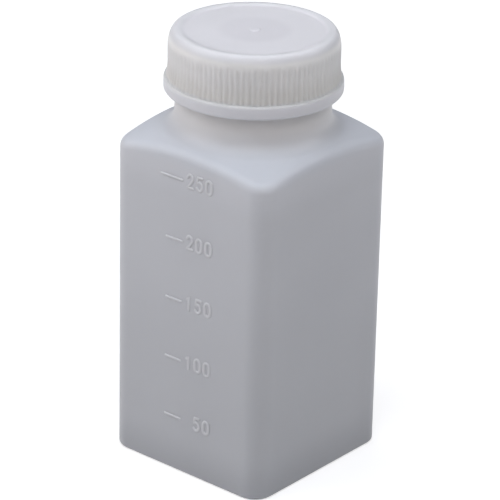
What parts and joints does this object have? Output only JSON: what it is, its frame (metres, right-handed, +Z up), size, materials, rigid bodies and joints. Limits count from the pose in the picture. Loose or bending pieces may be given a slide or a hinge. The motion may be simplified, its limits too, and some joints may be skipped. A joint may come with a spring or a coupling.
{
  "type": "square media bottle",
  "caption": "Square wide-mouth media bottle of milky plastic with a domed shoulder, moulded volume marks and a ribbed screw cap over a sealing disc.",
  "frame": {"origin": "on the resting plane, under the middle of the square body and of the neck", "axes": "+Z up along the neck; the graduated side looks towards -Y"},
  "size_m": [0.055, 0.0553, 0.1255],
  "materials": {
    "bottle": "satin milky natural polyethylene",
    "cap": "satin natural polyethylene, a little glossier than the bottle",
    "sealing_disc": "matt foamed polyethylene"
  },
  "bodies": {
    "bottle": {"bottle": "bottle"},
    "seal": {"sealing_disc": "sealing_disc"},
    "cap": {"cap": "cap"}
  },
  "joints": [
    {"name": "cap_lift", "type": "slide", "parent": "bottle", "child": "seal", "axis": [0, 0, 1], "range_m": [0, 0.016]},
    {"name": "cap_turn", "type": "hinge", "parent": "seal", "child": "cap", "pos_m": [0, 0, 0.1161], "axis": [0, 0, 1], "range_deg": [0, 1362]}
  ],
  "couplings": [
    {"joint": "cap_turn", "follows": "cap_lift", "rad_per_m": 1485.4}
  ]
}
